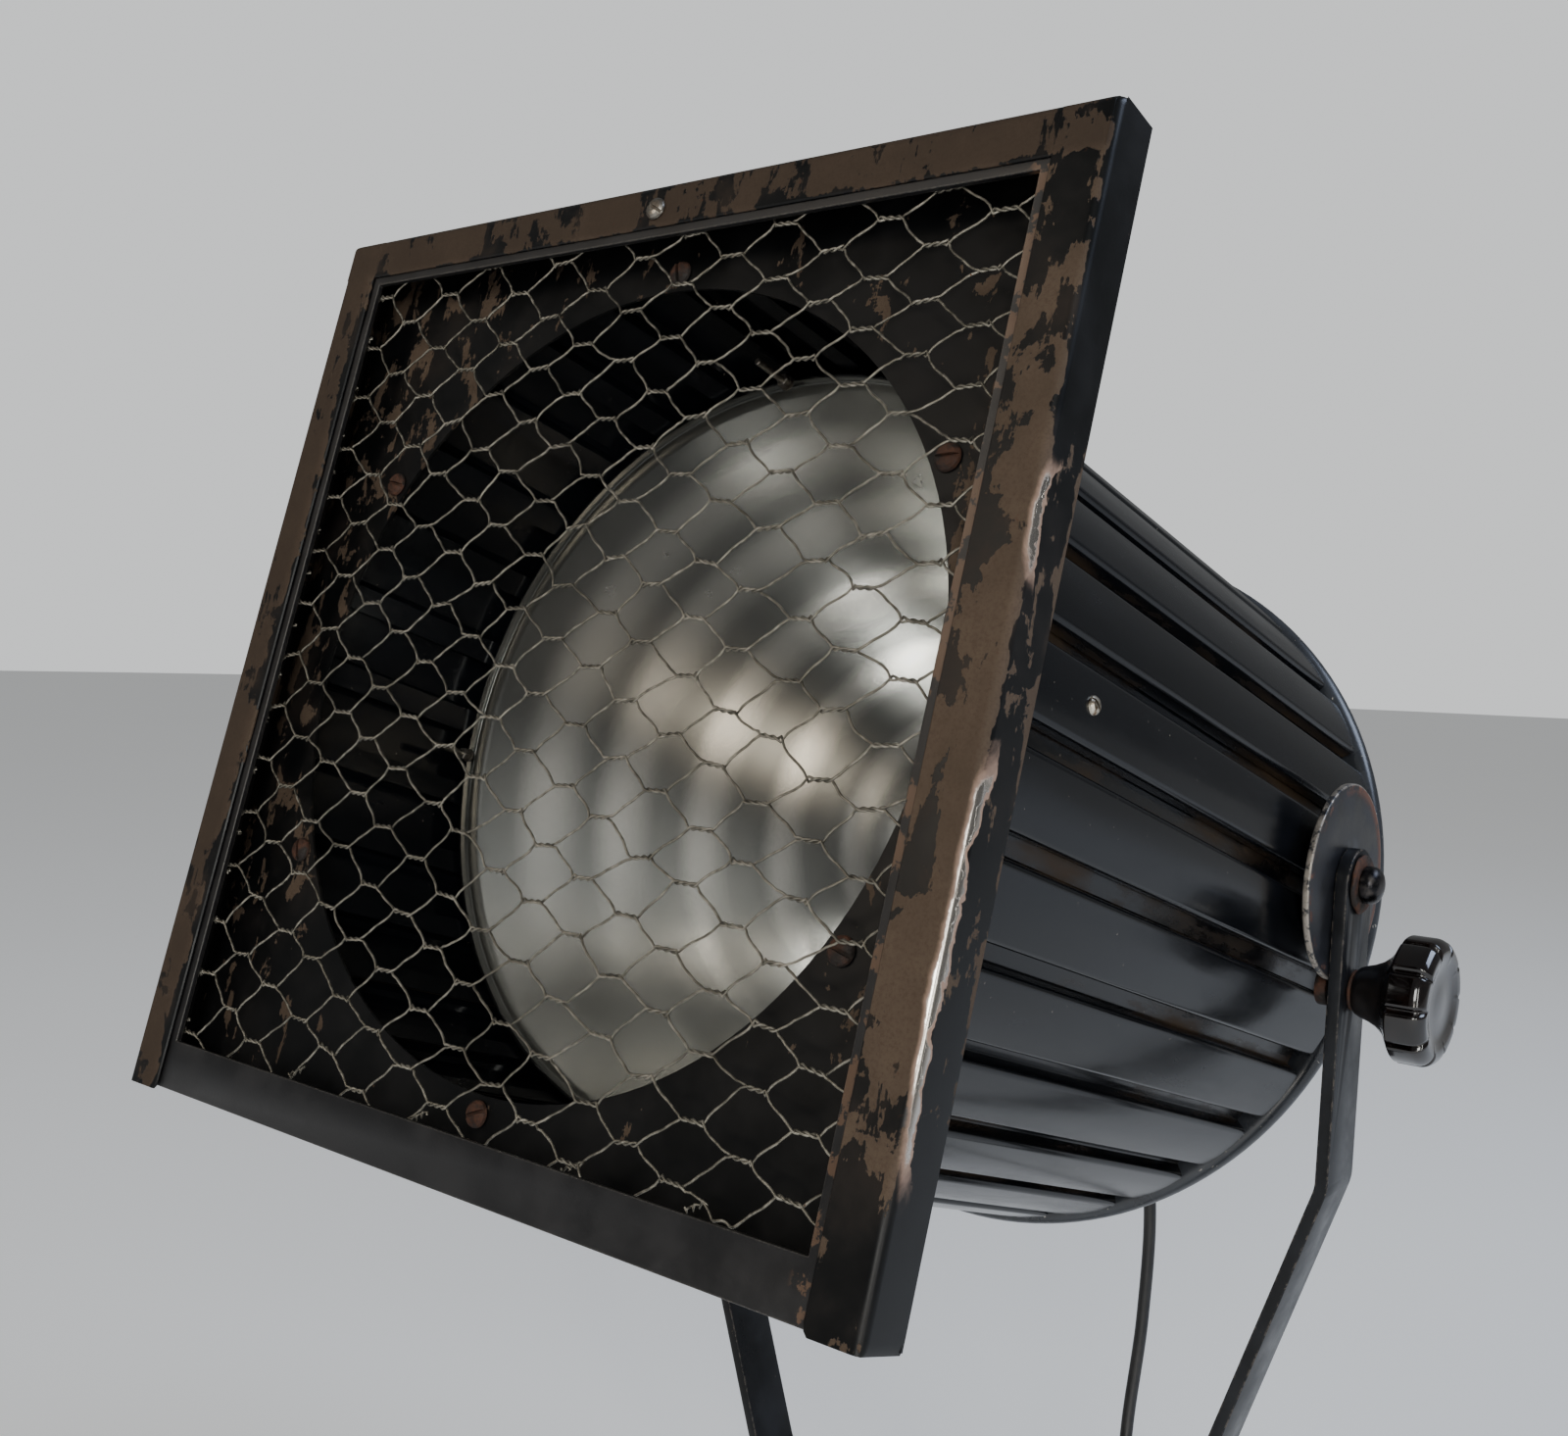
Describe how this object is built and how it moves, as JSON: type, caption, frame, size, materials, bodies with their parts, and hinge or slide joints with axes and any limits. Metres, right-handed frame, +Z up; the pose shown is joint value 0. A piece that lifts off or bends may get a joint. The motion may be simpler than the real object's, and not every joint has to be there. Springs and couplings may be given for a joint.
{
  "type": "theatre floodlight head on a fork",
  "caption": "Round slatted floodlight head with a square front, wire guard and deep reflector, tilting in a flat-bar fork on a stand spigot.",
  "frame": {"origin": "centre of the spigot's lower end face", "axes": "+Z up along the spigot and pan axis, -Y the way the front faces, X along the tilt axis with the clamp knob on +X; stored with the head looking up by 17.28 degrees"},
  "size_m": [0.4548, 0.5422, 0.817],
  "materials": {
    "black_paint": "worn semi-gloss black",
    "guard_paint": "satin black",
    "galvanised_wire": "dull galvanised",
    "spun_aluminium": "satin spun",
    "grey_enamel": "gloss",
    "rusty_steel": "rusty",
    "dull_steel": "dull",
    "bakelite": "gloss moulded",
    "lampholder_ceramic": "unglazed",
    "lamp_glass": "clear",
    "black_rubber": "matt"
  },
  "bodies": {
    "stand_spigot": {"stand_spigot": "dull_steel", "pan_bolt": "dull_steel"},
    "wing_nut": {"wing_nut": "dull_steel"},
    "yoke": {"yoke_fork": "black_paint", "clamp_stud": "rusty_steel", "clamp_washer": "rusty_steel", "cord_run": "black_rubber", "cord_coil": "black_rubber", "cord_tie": "black_rubber", "plug": "black_rubber"},
    "clamp_knob": {"clamp_knob": "bakelite"},
    "lantern": {"front_tray": "black_paint", "plate_screw_1": "rusty_steel", "plate_screw_2": "rusty_steel", "plate_screw_3": "rusty_steel", "plate_screw_4": "rusty_steel", "plate_screw_5": "rusty_steel", "plate_screw_6": "rusty_steel", "pinch_screw": "dull_steel", "slat_01": "black_paint", "slat_02": "black_paint", "slat_03": "black_paint", "slat_04": "black_paint", "slat_05": "black_paint", "slat_06": "black_paint", "slat_07": "black_paint", "slat_08": "black_paint", "slat_09": "black_paint", "slat_10": "black_paint", "slat_11": "black_paint", "slat_12": "black_paint", "slat_13": "black_paint", "slat_14": "black_paint", "slat_15": "black_paint", "slat_16": "black_paint", "slat_17": "black_paint", "slat_18": "black_paint", "slat_19": "black_paint", "slat_20": "black_paint", "slat_21": "black_paint", "slat_22": "black_paint", "slat_23": "black_paint", "slat_24": "black_paint", "slat_25": "black_paint", "slat_26": "black_paint", "slat_27": "black_paint", "slat_28": "black_paint", "slat_29": "black_paint", "slat_30": "black_paint", "rear_cap": "grey_enamel", "lamp_box": "black_paint", "reflector": "spun_aluminium", "lampholder": "lampholder_ceramic", "lamp": "lamp_glass", "friction_disc": "black_paint", "pivot_bolt": "dull_steel", "pivot_washer": "rusty_steel", "pivot_boss_left": "black_paint"},
    "guard": {"guard_frame": "guard_paint", "wire_mesh": "galvanised_wire"}
  },
  "joints": [
    {"name": "yoke_pan", "type": "hinge", "parent": "stand_spigot", "child": "yoke", "pos_m": [0, 0, 0.1063], "axis": [0, 0, 1], "range_deg": [-175, 175]},
    {"name": "wing_nut_turn", "type": "hinge", "parent": "stand_spigot", "child": "wing_nut", "pos_m": [0, 0, 0.12], "axis": [0, 0, 1], "range_deg": [-180, 540]},
    {"name": "lantern_tilt", "type": "hinge", "parent": "yoke", "child": "lantern", "pos_m": [0, 0, 0.5013], "axis": [1, 0, 0], "range_deg": [-60, 50], "deforming": ["cord_run"]},
    {"name": "clamp_knob_turn", "type": "hinge", "parent": "yoke", "child": "clamp_knob", "pos_m": [0.22, 0, 0.45235], "axis": [1, 0, 0], "range_deg": [-180, 540]},
    {"name": "guard_slide", "type": "slide", "parent": "lantern", "child": "guard", "axis": [0, -0.297, -0.9549], "range_m": [0, 0.36]}
  ]
}
